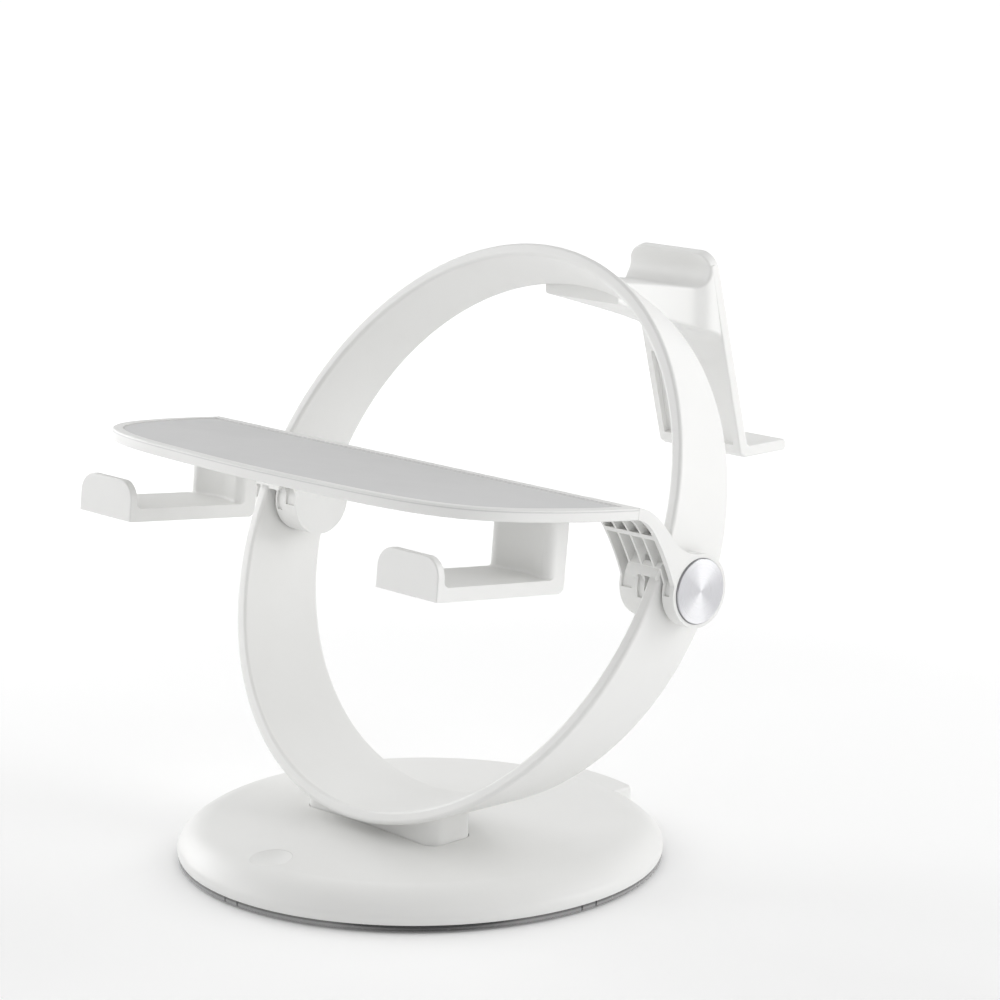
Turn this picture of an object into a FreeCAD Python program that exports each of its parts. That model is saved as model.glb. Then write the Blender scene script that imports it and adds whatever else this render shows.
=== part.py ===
import FreeCAD, Part
import math
import os

# Headset stand: domed base, leaning tapered hoop, tilting tray with clevis arms, rear strap holder
# Millimetres, +Z up, the tray and its hooks open towards -Y, origin under the centre of the base

os.makedirs("parts", exist_ok=True)

Vec = FreeCAD.Vector
X_AXIS = Vec(1, 0, 0)
Z_AXIS = Vec(0, 0, 1)

# Base
base_radius = 95.0
seam_inset = 0.4
foot_pad_inset = 11.5
rim_turn_inset = 1.4
shoulder_inset = 6.0
crown_edge_inset = 15.0
weight_inset = 17.0
touch_inset = 20.0
port_inset = 11.0
port_depth = 12.6
plate_screw_inset = 7.0
pad_height = 0.8
pad_radius = base_radius - foot_pad_inset
plate_bottom = 0.8
plate_thickness = 2.4
plate_radius = base_radius - seam_inset
shell_bottom = plate_bottom + plate_thickness
rim_widest_z = 5.4
rim_turn_radius = base_radius - rim_turn_inset
rim_turn_z = 8.2
shoulder_radius = base_radius - shoulder_inset
shoulder_z = 11.9
crown_edge_radius = base_radius - crown_edge_inset
crown_edge_z = 14.4
crown_z = 18.4
weight_radius = base_radius - weight_inset
weight_bottom = shell_bottom
weight_thickness = 7.6
weight_clearance = 0.4
touch_centre_y = touch_inset - base_radius
touch_depth = 1.3
touch_dish_radius = 25.0
port_half_width = 24.0
port_inner_radius = base_radius - port_inset
port_outer_radius = port_inner_radius + port_depth
port_top = 13.4

# Foot of the hoop, sunk into the crown of the base
foot_half_length = 37.8
foot_half_width = 11.0
foot_corner = 6.0
foot_centre_y = -16.7
foot_bottom = 11.6
foot_top = 32.0
foot_clearance = 0.35
foot_screw_x = 20.0
foot_screw_radius = 2.5
foot_screw_head_radius = 4.6
foot_screw_head = 2.8
foot_screw_length = 16.0
screw_hole_clearance = 0.25
plate_screw_ring = base_radius - plate_screw_inset
plate_screw_radius = 1.5
plate_screw_head_radius = 2.8
plate_screw_head = 1.2
plate_screw_play = 0.2
plate_screw_grip = 4.6

# Hoop band, a ruled skin between a front ellipse and a smaller, lower back ellipse
hoop_wall_side = 5.1
hoop_wall_top = 4.75
hoop_side_taper = 2.2
hoop_height_taper = 6.8
front_half_width = 114.6
front_half_height = 106.1
front_centre_y = 14.5
front_low_z = 22.3
front_centre_z = round(front_low_z + front_half_height, 6)
front_lean = 0.4965
back_half_width = round(front_half_width - hoop_side_taper, 6)
back_half_height = round(front_half_height - hoop_height_taper, 6)
back_centre_y = 46.6
back_low_z = 21.5
back_centre_z = round(back_low_z + back_half_height, 6)
back_lean = 0.4145
hoop_top_z = round(back_centre_z + back_half_height, 6)
hoop_top_y = back_centre_y + back_lean * back_half_height
hoop_edge_round = 1.3

# Pivot line of the tray, and its friction joint: the ears stand clear of the band on both sides
pivot_y = 29.4
pivot_below_centre = 6.1
pivot_z = round(front_centre_z - pivot_below_centre, 6)
barrel_radius = 13.8
slot_clearance_out = 0.7
slot_clearance_in = 1.1
inner_ear_wall = 12.8
outer_ear_wall = 5.7
inner_ear_out = min(front_half_width, back_half_width) - hoop_wall_side - slot_clearance_in
outer_ear_in = max(front_half_width, back_half_width) + slot_clearance_out
inner_ear_in = inner_ear_out - inner_ear_wall
outer_ear_out = outer_ear_in + outer_ear_wall
ear_edge_round = 0.6
washer_thickness = 0.6
washer_gap = 0.3
washer_radius = 10.0
hub_radius = 9.6
pin_radius = 4.0
pin_running_clearance = 0.05
bush_radius = 5.6
pin_head_radius = 7.0
pin_head = 2.2
pin_key_radius = 2.5
pin_key_depth = 1.6
insert_radius = 6.2
insert_length = 8.0
insert_groove = 0.7
insert_groove_width = 2.4
pin_tip_past_insert = 0.8
bore_past_insert = 1.8
outer_cap_radius = 12.25
outer_cap_thickness = 1.2
outer_cap_proud = 0.7
outer_cap_edge_round = 0.4
cap_clearance = 0.1
tilt_up = 12.0
tilt_down = 18.0
slot_reach = 17.0

# Tray, in its own frame: v runs back along the plate and w is square to it
tray_pitch = 6.3
tray_thickness = 4.5
tray_bottom_w = 27.5
tray_top_w = tray_bottom_w + tray_thickness
tray_back_v = -35.2
tray_front_v = -120.3
tray_depth = tray_back_v - tray_front_v
tray_half_width = outer_ear_out - 0.1
tray_edge_round = 0.9
tray_under_round = 0.5
pad_inset = 4.2
pad_gap = 0.15
pad_recess = 1.1
tray_pad_thickness = 0.8

# Clevis arms, with open pockets between thin ribs on their front
arm_width = outer_ear_out - inner_ear_in
side_wall_in = 1.0
side_wall_out = 2.2
rib_wall = 0.9
rib_columns = 4
skin_behind_pockets = 1.7
upper_row_low = 21.0
main_row_high = 19.4
main_row_low = -1.8
pocket_floor_radius = 12.9
apron_wall = 1.5
apron_low = 3.9
small_pocket_in = 9.1
small_pocket_width = 2.8
small_pocket_low = -4.7
small_pocket_high = 3.6
tongue_length = 13.0
tongue_half_width = 10.0
tongue_thickness = 2.0

# Hooks under the tray
hook_width = 32.4
hook_out_x = tray_half_width - 16.8
hook_in_x = hook_out_x - hook_width
hook_front_v = -114.2
hook_back_v = -53.0
hook_drop = 28.5
hook_bottom_w = tray_bottom_w - hook_drop
hook_floor = 5.1
hook_lip = 3.0
hook_lip_height = 15.5
hook_lip_top_w = hook_bottom_w + hook_lip_height
hook_lip_round = 7.5
hook_wall_end = 10.4
hook_scoop_depth = 5.6
hook_scoop_edge_round = 3.2
hook_corner_round = 3.0
hook_inner_round = 2.5
hook_edge_round = 0.6
hook_screw_radius = 1.6
hook_screw_length = 13.0
hook_screw_head_radius = 3.1
hook_screw_head = 1.8
hook_screw_inset = 5.0
hook_screw_back = 3.6

# Rear strap holder
holder_half_width = 23.3
neck_root_bite = 0.86
neck_root_y = round(hoop_top_y - neck_root_bite, 1)
holder_top_reach = 48.7
holder_bottom_reach = 69.0
holder_floor_reach = 96.3
holder_top_above = 5.7
holder_bottom_below = 78.5
holder_floor_below = 80.2
holder_floor = 4.6
holder_top = (round(neck_root_y + holder_top_reach, 6), round(hoop_top_z + holder_top_above, 6))
holder_bottom = (round(neck_root_y + holder_bottom_reach, 6), round(hoop_top_z - holder_bottom_below, 6))
holder_wall = 4.6
holder_floor_low = round(hoop_top_z - holder_floor_below, 6)
holder_floor_high = round(holder_floor_low + holder_floor, 6)
holder_floor_end = round(neck_root_y + holder_floor_reach, 6)
holder_corner_round = 8.0
holder_recess = 2.4
holder_rim = 3.6
holder_edge_round = 0.7
neck_root_below = 9.6
neck_root_height = 9.0
neck_root_low = round(hoop_top_z - neck_root_below, 6)
neck_root_high = neck_root_low + neck_root_height
neck_top_slope = -0.155
neck_bottom_slope = -0.318
neck_top_blend = 6.5
neck_bottom_blend = 8.0
neck_root_half_width = 21.0
neck_waist_half_width = 18.4
neck_edge_round = 1.2
key_half_width = 10.0
key_thickness = 2.0
key_reach = 11.0


def export(name, shape):
    shape.exportStep("parts/" + name + ".step")


def box(x0, x1, y0, y1, z0, z1):
    return Part.makeBox(x1 - x0, y1 - y0, z1 - z0, Vec(x0, y0, z0))


def cylinder_x(radius, x0, x1, y, z):
    return Part.makeCylinder(radius, x1 - x0, Vec(x0, y, z), X_AXIS)


def cylinder_z(radius, z0, z1, x, y):
    return Part.makeCylinder(radius, z1 - z0, Vec(x, y, z0), Z_AXIS)


def mirrored(shape):
    return shape.mirror(Vec(0, 0, 0), X_AXIS)


def both_sides(shape):
    return Part.makeCompound([shape, mirrored(shape)])


def tray_frame(shape):
    shape.rotate(Vec(0, 0, 0), X_AXIS, -tray_pitch)
    shape.translate(Vec(0, pivot_y, pivot_z))
    return shape


def rounded(shape, chosen, radius):
    edges = [edge for edge in shape.Edges if chosen(edge)]
    if not edges:
        return shape
    try:
        result = shape.makeFillet(radius, edges)
    except Exception:
        return shape
    if result.isValid() and result.Volume > 0.5 * shape.Volume:
        return result
    return shape


def rounded_block(half_length, half_width, corner, z0, z1, centre_y):
    body = box(-half_length, half_length, centre_y - half_width, centre_y + half_width, z0, z1)
    upright = [edge for edge in body.Edges if edge.BoundBox.ZLength > 0.9 * (z1 - z0)]
    return body.makeFillet(corner, upright)


# Base shell, turned about the vertical
def shell_outer():
    start = Vec(0, 0, shell_bottom)
    edge = Vec(base_radius - seam_inset, 0, shell_bottom)
    widest = Vec(base_radius, 0, rim_widest_z)
    shoulder = Vec(shoulder_radius, 0, shoulder_z)
    crown_edge = Vec(crown_edge_radius, 0, crown_edge_z)
    top = Vec(0, 0, crown_z)
    turn = Vec(rim_turn_radius, 0, rim_turn_z)
    middle = Vec(0.5 * crown_edge_radius, 0, crown_z - 0.25 * (crown_z - crown_edge_z))
    lower_rim = Part.Arc(edge, widest, turn)
    upper_rim = Part.Arc(turn, shoulder, crown_edge)
    crown = Part.BSplineCurve()
    crown.interpolate(Points=[crown_edge, middle, top], InitialTangent=Vec(-1, 0, 0.1), FinalTangent=Vec(-1, 0, 0))
    lines = [Part.makeLine(start, edge), lower_rim.toShape(), upper_rim.toShape(), crown.toShape(),
             Part.makeLine(top, start)]
    return Part.Face(Part.Wire(lines)).revolve(Vec(0, 0, 0), Z_AXIS, 360)


def base_cavity():
    top = weight_bottom + weight_thickness + weight_clearance
    return cylinder_z(weight_radius + 1.0, shell_bottom, top, 0, 0)


# An ellipse in a leaning plane, at t = 0 the front edge of the band and at t = 1 its back edge
def hoop_ellipse(t, wall_side, wall_top):
    def blend(front, back):
        return front + t * (back - front)
    half_width = blend(front_half_width, back_half_width) - wall_side
    front_h = front_half_height - wall_top
    back_h = back_half_height - wall_top
    half_height = blend(front_h, back_h)
    half_run = blend(front_lean * front_h, back_lean * back_h)
    centre = Vec(0, blend(front_centre_y, back_centre_y), blend(front_centre_z, back_centre_z))
    up = Vec(0, half_run, half_height)
    side = Vec(half_width, 0, 0)
    if up.Length > half_width:
        curve = Part.Ellipse(centre + up, centre + side, centre)
    else:
        curve = Part.Ellipse(centre + side, centre + up, centre)
    return Part.Wire([curve.toShape()])


def hoop_band():
    outer = Part.makeLoft([hoop_ellipse(0.0, 0, 0), hoop_ellipse(1.0, 0, 0)], True, True)
    inside = [hoop_ellipse(-0.15, hoop_wall_side, hoop_wall_top), hoop_ellipse(1.15, hoop_wall_side, hoop_wall_top)]
    return outer.cut(Part.makeLoft(inside, True, True))


def hoop_core():
    inside = [hoop_ellipse(-0.6, hoop_wall_side, hoop_wall_top), hoop_ellipse(1.6, hoop_wall_side, hoop_wall_top)]
    return Part.makeLoft(inside, True, True)


def foot_screw(x):
    z0 = plate_bottom + 0.5
    head = cylinder_z(foot_screw_head_radius, z0, z0 + foot_screw_head, x, foot_centre_y)
    z1 = z0 + foot_screw_head
    shank = cylinder_z(foot_screw_radius, z1, z1 + foot_screw_length, x, foot_centre_y)
    return head.fuse(shank)


def hoop():
    band = hoop_band()
    band = rounded(band, lambda edge: edge.BoundBox.XLength > 1.5 * front_half_width, hoop_edge_round)
    foot = rounded_block(foot_half_length, foot_half_width, foot_corner, foot_bottom, foot_top, foot_centre_y)
    foot = foot.cut(hoop_core())
    body = band.fuse(foot)
    for side in (-1, 1):
        near = outer_ear_in - washer_thickness - washer_gap
        far = inner_ear_out + washer_thickness + washer_gap
        hub = cylinder_x(hub_radius, far, near, pivot_y, pivot_z)
        bore = cylinder_x(bush_radius, far - 1, near + 1, pivot_y, pivot_z)
        if side < 0:
            hub = mirrored(hub)
            bore = mirrored(bore)
        body = body.fuse(hub).cut(bore)
    for x in (-foot_screw_x, foot_screw_x):
        body = body.cut(cylinder_z(foot_screw_radius, foot_bottom - 1, plate_bottom + 0.5 + foot_screw_head
                                   + foot_screw_length, x, foot_centre_y))
    return body.cut(holder_key())


def base_shell():
    body = shell_outer()
    body = body.cut(base_cavity())
    pocket = rounded_block(foot_half_length + foot_clearance, foot_half_width + foot_clearance,
                           foot_corner + foot_clearance, foot_bottom - 0.01, crown_z + 5, foot_centre_y)
    body = body.cut(pocket)
    body = body.cut(touch_tool())
    body = body.cut(port_tool(0.0))
    for x in (-foot_screw_x, foot_screw_x):
        hole = cylinder_z(foot_screw_radius + screw_hole_clearance, shell_bottom, crown_z, x, foot_centre_y)
        body = body.cut(hole)
    for x, y in plate_screw_places():
        body = body.cut(cylinder_z(plate_screw_radius, shell_bottom - 1, shell_bottom + 5.0, x, y))
    return body


# Shallow round touch dimple near the front of the base
def touch_tool():
    drop = crown_z - crown_edge_z
    reach = abs(touch_centre_y) / crown_edge_radius
    surface = crown_z - drop * reach * reach
    slope = 2.0 * drop * abs(touch_centre_y) / (crown_edge_radius * crown_edge_radius)
    normal = Vec(0, -slope, 1.0)
    normal.normalize()
    centre = Vec(0, touch_centre_y, surface) + normal * (touch_dish_radius - touch_depth)
    return Part.makeSphere(touch_dish_radius, centre)


# Low block with rounded ends at the back of the base
def port_tool(grow):
    ring = cylinder_z(port_outer_radius + grow, shell_bottom, port_top + grow, 0, 0)
    ring = ring.cut(cylinder_z(port_inner_radius - grow, shell_bottom - 1, port_top + 2, 0, 0))
    half = port_half_width + grow
    keep = box(-half, half, 0.5 * port_inner_radius, port_outer_radius + 5, shell_bottom, port_top + 1)
    return ring.common(keep)


def port_block():
    body = port_tool(0.0)
    body = rounded(body, lambda edge: edge.BoundBox.ZLength > 8 and edge.BoundBox.XLength < 1, 2.4)
    top = port_top - 0.01
    return rounded(body, lambda edge: edge.BoundBox.ZMin > top - 0.1, 1.4)


def plate_screw_places():
    places = []
    for number in range(4):
        angle = math.radians(45 + 90 * number)
        places.append((plate_screw_ring * math.cos(angle), plate_screw_ring * math.sin(angle)))
    return places


def bottom_plate():
    body = cylinder_z(plate_radius, plate_bottom, plate_bottom + plate_thickness, 0, 0)
    body = rounded(body, lambda edge: edge.BoundBox.ZMax < plate_bottom + 0.01, 0.7)
    for x in (-foot_screw_x, foot_screw_x):
        hole = foot_screw_head_radius + screw_hole_clearance
        body = body.cut(cylinder_z(hole, plate_bottom - 1, shell_bottom + 1, x, foot_centre_y))
    for x, y in plate_screw_places():
        seat = plate_bottom + plate_screw_head
        body = body.cut(cylinder_z(plate_screw_head_radius + plate_screw_play, plate_bottom - 1, seat, x, y))
        body = body.cut(cylinder_z(plate_screw_radius + 0.1, plate_bottom - 1, shell_bottom + 1, x, y))
    return body


def plate_screws():
    items = []
    for x, y in plate_screw_places():
        seat = plate_bottom + plate_screw_head
        head = cylinder_z(plate_screw_head_radius, plate_bottom + 0.1, seat, x, y)
        items.append(head.fuse(cylinder_z(plate_screw_radius, seat, shell_bottom + plate_screw_grip, x, y)))
    return Part.makeCompound(items)


def base_weight():
    top = weight_bottom + weight_thickness
    body = cylinder_z(weight_radius, weight_bottom, top, 0, 0)
    for x in (-foot_screw_x, foot_screw_x):
        head_top = plate_bottom + 0.5 + foot_screw_head
        big = foot_screw_head_radius + screw_hole_clearance
        body = body.cut(cylinder_z(big, weight_bottom - 1, head_top, x, foot_centre_y))
        small = foot_screw_radius + screw_hole_clearance
        body = body.cut(cylinder_z(small, weight_bottom - 1, top + 1, x, foot_centre_y))
    return body


def foot_pad():
    disc = cylinder_z(pad_radius, 0, pad_height, 0, 0)
    return rounded(disc, lambda edge: edge.BoundBox.ZMax < 0.01, 0.3)


# Tray plate in its own frame, one smooth edge from side to side and a straight back
def tray_edge(inset):
    shares = [(0, 1.0), (0.372, 0.975), (0.645, 0.924), (0.761, 0.867), (0.856, 0.773), (0.922, 0.638),
              (0.968, 0.444), (0.994, 0.221), (1.0, 0.0)]
    half = [(tray_half_width * across, tray_back_v - tray_depth * along) for across, along in shares]
    points = [Vec(-x, v, 0) for x, v in reversed(half[1:])]
    points += [Vec(x, v, 0) for x, v in half]
    curve = Part.BSplineCurve()
    curve.interpolate(points, False)
    if not inset:
        return curve
    low, high = curve.FirstParameter, curve.LastParameter
    count = 32
    moved = []
    for number in range(count + 1):
        place = low + (high - low) * number / count
        direction = curve.tangent(place)[0]
        inward = Vec(-direction.y, direction.x, 0)
        point = curve.value(place) + inward * inset
        if point.y < tray_back_v - inset - 1.0:
            moved.append(point)
    side = moved[-1].x + 0.2
    moved = [Vec(-side, tray_back_v - inset, 0)] + moved + [Vec(side, tray_back_v - inset, 0)]
    inner = Part.BSplineCurve()
    inner.interpolate(moved, False)
    return inner


def tray_slab(inset, low, high):
    curve = tray_edge(inset)
    first = curve.value(curve.FirstParameter)
    last = curve.value(curve.LastParameter)
    face = Part.Face(Part.Wire([curve.toShape(), Part.makeLine(last, first)]))
    slab = face.extrude(Vec(0, 0, high - low))
    slab.translate(Vec(0, 0, low))
    return slab


def tongue(clearance):
    centre = inner_ear_in + 0.5 * arm_width
    half = tongue_half_width + clearance
    return box(centre - half, centre + half, tray_back_v - tongue_length - clearance, tray_back_v + 3.0,
               tray_bottom_w, tray_bottom_w + tongue_thickness + clearance)


def tray_plate():
    slab = tray_slab(0, tray_bottom_w, tray_top_w)
    top = tray_top_w - 0.01
    bottom = tray_bottom_w + 0.01
    slab = rounded(slab, lambda edge: edge.BoundBox.ZMin > top and edge.BoundBox.YLength > 5, tray_edge_round)
    slab = rounded(slab, lambda edge: edge.BoundBox.ZMax < bottom and edge.BoundBox.YLength > 5, tray_under_round)
    slab = slab.cut(tray_slab(pad_inset, tray_top_w - pad_recess, tray_top_w + 5))
    for x, v in hook_screw_places():
        slab = slab.cut(cylinder_z(hook_screw_radius, tray_bottom_w - 1, tray_top_w + 1, x, v))
        head_low = tray_top_w - pad_recess - hook_screw_head
        slab = slab.cut(cylinder_z(hook_screw_head_radius, head_low, tray_top_w + 1, x, v))
    socket = tongue(0.0)
    slab = slab.cut(socket).cut(mirrored(socket))
    return tray_frame(slab)


def tray_pad():
    low = tray_top_w - pad_recess
    sheet = tray_slab(pad_inset + pad_gap, low, low + tray_pad_thickness)
    top = low + tray_pad_thickness - 0.01
    return tray_frame(rounded(sheet, lambda edge: edge.BoundBox.ZMin > top, 0.3))


# Scooped back wall of a hook, with the scoop turned softly into both sides
def hook_wall():
    mid = 0.5 * (hook_in_x + hook_out_x)
    front = hook_back_v - hook_wall_end
    wall = box(hook_in_x, hook_out_x, front, hook_back_v, hook_bottom_w, tray_bottom_w)
    half = 0.5 * hook_width
    reach = (half * half + hook_scoop_depth * hook_scoop_depth) / (2 * hook_scoop_depth)
    scoop = cylinder_z(reach, hook_bottom_w - 1, tray_bottom_w + 1, mid, front + hook_scoop_depth - reach)
    wall = wall.cut(scoop)
    return rounded(wall, lambda edge: edge.BoundBox.YMax < front + 0.01 and edge.BoundBox.ZLength > 20,
                   hook_scoop_edge_round)


# Hook in the tray frame: floor, rounded lip and a scooped back wall
def hook_right():
    shelf = hook_bottom_w + hook_floor
    low = hook_bottom_w + 0.01
    floor = box(hook_in_x, hook_out_x, hook_front_v, hook_back_v, hook_bottom_w, shelf)
    floor = rounded(floor, lambda edge: edge.BoundBox.ZMax < low and edge.BoundBox.YMin > hook_back_v - 0.01,
                    hook_corner_round)
    upper_wall = hook_wall().cut(box(hook_in_x - 1, hook_out_x + 1, hook_front_v - 1, 0, hook_bottom_w - 1, shelf))
    lip = box(hook_in_x, hook_out_x, hook_front_v, hook_front_v + hook_lip, hook_bottom_w, hook_lip_top_w)
    lip = rounded(lip, lambda edge: edge.BoundBox.ZMin > hook_lip_top_w - 0.01 and edge.BoundBox.YLength > 1,
                  hook_lip_round)
    body = floor.fuse(upper_wall).fuse(lip).removeSplitter()
    front = hook_front_v + hook_lip
    body = rounded(body, lambda edge: abs(edge.BoundBox.YMin - front) < 0.01 and edge.BoundBox.YLength < 0.01
                   and abs(edge.BoundBox.ZMax - shelf) < 0.01 and edge.BoundBox.XLength > 20, hook_inner_round)
    body = rounded(body, lambda edge: abs(edge.BoundBox.ZMax - shelf) < 0.01 and edge.BoundBox.ZLength < 0.01
                   and edge.BoundBox.XLength > 10 and edge.BoundBox.YMin > -80, 0.5 * hook_inner_round)
    body = rounded(body, lambda edge: edge.BoundBox.YMax < hook_front_v + 0.01, hook_edge_round)
    for x, v in hook_screw_places():
        if x > 0:
            body = body.cut(cylinder_z(hook_screw_radius, hook_screw_end_w(), tray_bottom_w + 1, x, v))
    return tray_frame(body)


def hook_screw_end_w():
    return tray_top_w - pad_recess - hook_screw_head - hook_screw_length


def hook_screw_places():
    near = hook_in_x + hook_screw_inset
    far = hook_out_x - hook_screw_inset
    v = hook_back_v - hook_screw_back
    return [(near, v), (far, v), (-near, v), (-far, v)]


def tray_screws():
    items = []
    for x, v in hook_screw_places():
        head_low = tray_top_w - pad_recess - hook_screw_head
        head = cylinder_z(hook_screw_head_radius, head_low, head_low + hook_screw_head, x, v)
        shank = cylinder_z(hook_screw_radius, hook_screw_end_w(), head_low, x, v)
        items.append(head.fuse(shank))
    return tray_frame(Part.makeCompound(items))


# Side outline of a clevis arm, in the tray frame, from the tray edge down to the barrel
def arm_profile():
    back_shares = [(1.0, 1.0), (0.821, 0.944), (0.670, 0.838), (0.511, 0.675), (0.378, 0.547), (0.216, 0.456)]
    front_shares = [(0.503, 0.367), (0.636, 0.629), (0.767, 0.840), (0.875, 0.953), (1.0, 1.0)]
    back = [(tray_back_v * along, tray_top_w * up) for along, up in back_shares]
    back.append((-0.1 * barrel_radius, 0.993 * barrel_radius))
    front = [(-0.985 * barrel_radius, 0.174 * barrel_radius)]
    front += [(tray_back_v * along, tray_bottom_w * up) for along, up in front_shares]
    upper = Part.BSplineCurve()
    upper.interpolate([Vec(0, v, w) for v, w in back], False)
    lower = Part.BSplineCurve()
    lower.interpolate([Vec(0, v, w) for v, w in front], False)
    joint = Part.makeLine(Vec(0, back[-1][0], back[-1][1]), Vec(0, 0, 0))
    root = Part.makeLine(Vec(0, 0, 0), Vec(0, front[0][0], front[0][1]))
    end = Part.makeLine(Vec(0, front[-1][0], front[-1][1]), Vec(0, back[0][0], back[0][1]))
    return Part.Face(Part.Wire([upper.toShape(), joint, root, lower.toShape(), end]))


def arm_solid():
    neck = arm_profile().extrude(Vec(arm_width, 0, 0))
    neck.translate(Vec(inner_ear_in, 0, 0))
    barrel = cylinder_x(barrel_radius, inner_ear_in, outer_ear_out, 0, 0)
    body = neck.fuse(barrel).removeSplitter()
    return rounded(body, lambda edge: edge.BoundBox.XLength < 0.01 and edge.BoundBox.YMin > tray_back_v - 1
                   and edge.BoundBox.YMax > tray_back_v + 0.1, ear_edge_round)


# Room for the hoop between the ears, over the whole tilt range
def slot_tool():
    tool = cylinder_x(slot_reach, inner_ear_out, outer_ear_in, 0, 0)
    edge_angle = math.degrees(math.atan(front_lean))
    for tilt in (tilt_down, 0.0, -tilt_up):
        block = box(inner_ear_out, outer_ear_in, -slot_reach, 60, -60, 60)
        block.rotate(Vec(0, 0, 0), X_AXIS, tray_pitch - edge_angle - tilt)
        tool = tool.fuse(block)
    return tool


# Apron that follows the pivot in front of the hoop and bridges the two ears
def apron():
    second_rib = inner_ear_in + side_wall_in + column_pitch() - rib_wall
    x1 = outer_ear_in + 0.1
    ring = cylinder_x(slot_reach + apron_wall, second_rib, x1, 0, 0)
    ring = ring.cut(cylinder_x(slot_reach - 0.2, second_rib - 1, x1 + 1, 0, 0))
    return ring.common(box(second_rib, x1, -30, 0, apron_low, main_row_high - 8.0))


def column_pitch():
    return (arm_width - side_wall_in - side_wall_out + rib_wall) / rib_columns


# A pocket from the front of the arm to a floor that is round about the pivot, or the skin of the back
def pocket(x0, x1, low, high, floor_radius, room):
    upper = box(x0, x1, -60, 10, max(low, 8.0), high).common(room) if high > 8.0 else None
    lower = box(x0, x1, -60, -0.5 * barrel_radius, low, min(high, 8.0)) if low < 8.0 else None
    guard = cylinder_x(floor_radius, x0 - 1, x1 + 1, 0, 0)
    pieces = [piece.cut(guard) for piece in (upper, lower) if piece is not None]
    return pieces


def arm_pockets():
    room = back_skin()
    start = inner_ear_in + side_wall_in
    pitch = column_pitch()
    width = pitch - rib_wall
    over_slot = slot_reach + apron_wall + 0.2
    ear = outer_ear_in + 1.0
    last_end = start + 3 * pitch + width
    tools = []
    for column in range(rib_columns):
        x0 = start + column * pitch
        tools += pocket(x0, x0 + width, upper_row_low, tray_bottom_w - 0.05, over_slot, room)
        floor = pocket_floor_radius if column == 0 else over_slot
        low = main_row_low if column == 0 else 8.0
        tools += pocket(x0, x0 + width, low, main_row_high, floor, room)
    tools += pocket(ear, last_end, main_row_low, main_row_high, pocket_floor_radius, room)
    small = inner_ear_in + small_pocket_in
    tools += pocket(small, small + small_pocket_width, small_pocket_low, small_pocket_high, pocket_floor_radius, room)
    return tools


# The neck moved forward leaves a skin of even thickness behind the pockets
def back_skin():
    skin = arm_profile().extrude(Vec(arm_width + 2, 0, 0))
    skin.translate(Vec(inner_ear_in - 1, -skin_behind_pockets, -skin_behind_pockets))
    return skin


def arm_right():
    body = arm_solid()
    for tool in arm_pockets():
        body = body.cut(tool)
    body = body.fuse(apron())
    body = body.cut(slot_tool())
    body = body.fuse(tongue(0.0))
    blind_end = inner_ear_out - insert_length - bore_past_insert
    body = body.cut(cylinder_x(pin_radius, blind_end, outer_ear_out + 1, 0, 0))
    seat = outer_ear_out - outer_cap_thickness
    body = body.cut(cylinder_x(outer_cap_radius + cap_clearance, seat, outer_ear_out + 1, 0, 0))
    body = body.cut(cylinder_x(pin_head_radius, seat - pin_head, seat + 1, 0, 0))
    return tray_frame(body.cut(insert_body(0, 0)))


def pivot_x(radius, x0, x1):
    return cylinder_x(radius, x0, x1, pivot_y, pivot_z)


def outer_cap():
    low = outer_ear_out - outer_cap_thickness
    cap = pivot_x(outer_cap_radius, low, outer_ear_out + outer_cap_proud)
    return rounded(cap, lambda edge: edge.BoundBox.XMin > outer_ear_out + outer_cap_proud - 0.01,
                   outer_cap_edge_round)


def pivot_pin():
    seat = outer_ear_out - outer_cap_thickness
    head = pivot_x(pin_head_radius, seat - pin_head, seat)
    head = head.cut(hexagon(pin_key_radius, seat - pin_key_depth, seat + 1))
    tip = inner_ear_out - insert_length - pin_tip_past_insert
    return head.fuse(pivot_x(pin_radius, tip, seat - pin_head))


# Moulded-in threaded insert with a waist that the plastic holds
def insert_body(y, z):
    x0 = inner_ear_out - insert_length
    body = cylinder_x(insert_radius, x0, inner_ear_out, y, z)
    waist = 0.5 * (insert_length - insert_groove_width)
    ring = cylinder_x(insert_radius + 1, x0 + waist, x0 + waist + insert_groove_width, y, z)
    return body.cut(ring.cut(cylinder_x(insert_radius - insert_groove, x0, inner_ear_out, y, z)))


def pivot_insert():
    return insert_body(pivot_y, pivot_z).cut(pivot_x(pin_radius, 0, inner_ear_out + 1))


def hexagon(radius, x0, x1):
    points = []
    for number in range(7):
        angle = math.radians(60 * number)
        points.append(Vec(x0, pivot_y + radius * math.cos(angle), pivot_z + radius * math.sin(angle)))
    return Part.Face(Part.makePolygon(points)).extrude(Vec(x1 - x0, 0, 0))


def pivot_washers():
    inner = pivot_x(washer_radius, inner_ear_out, inner_ear_out + washer_thickness)
    outer = pivot_x(washer_radius, outer_ear_in - washer_thickness, outer_ear_in)
    hole = pivot_x(pin_radius, inner_ear_out - 1, outer_ear_in + 1)
    return Part.makeCompound([inner.cut(hole), outer.cut(hole)])


def pivot_bush():
    x0 = inner_ear_out + washer_thickness + washer_gap
    x1 = outer_ear_in - washer_thickness - washer_gap
    bush = pivot_x(bush_radius, x0, x1)
    return bush.cut(pivot_x(pin_radius + pin_running_clearance, x0 - 1, x1 + 1))


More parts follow.
